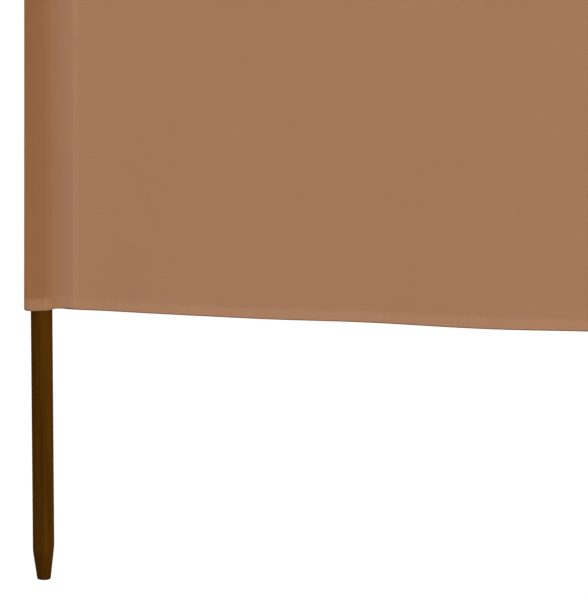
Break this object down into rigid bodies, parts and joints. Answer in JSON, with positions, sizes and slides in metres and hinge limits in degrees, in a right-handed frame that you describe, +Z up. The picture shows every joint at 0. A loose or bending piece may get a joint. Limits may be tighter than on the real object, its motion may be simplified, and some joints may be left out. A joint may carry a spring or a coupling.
{
  "type": "beach windbreak",
  "caption": "Beach windbreak: a run of plain cloth bays, hemmed along both edges, on round pointed wooden poles held in sewn sleeves.",
  "frame": {"origin": "middle of the blunt tip of the centre pole, which is driven into the ground", "axes": "+X along the run of bays, to the right as seen from the front; +Y to the back, where the hems are folded; +Z up"},
  "size_m": [5.0412, 0.0341, 1.2],
  "materials": {
    "pole_wood": "dark stained, smooth, satin",
    "cloth": "thin plain-woven tan cloth, matt",
    "hem_cloth": "the same cloth in several folded layers, a little lighter"
  },
  "bodies": {
    "root": {"pole_1": "pole_wood", "pole_2": "pole_wood", "pole_3": "pole_wood", "pole_4": "pole_wood", "pole_5": "pole_wood", "sleeve_1": "cloth", "sleeve_2": "cloth", "sleeve_3": "cloth", "sleeve_4": "cloth", "sleeve_5": "cloth", "sleeve_back_2": "cloth", "sleeve_back_3": "cloth", "sleeve_back_4": "cloth", "panel_1": "cloth", "panel_2": "cloth", "panel_3": "cloth", "panel_4": "cloth", "bottom_hem_1": "hem_cloth", "bottom_hem_2": "hem_cloth", "bottom_hem_3": "hem_cloth", "bottom_hem_4": "hem_cloth", "top_hem_1": "hem_cloth", "top_hem_2": "hem_cloth", "top_hem_3": "hem_cloth", "top_hem_4": "hem_cloth"}
  },
  "joints": []
}
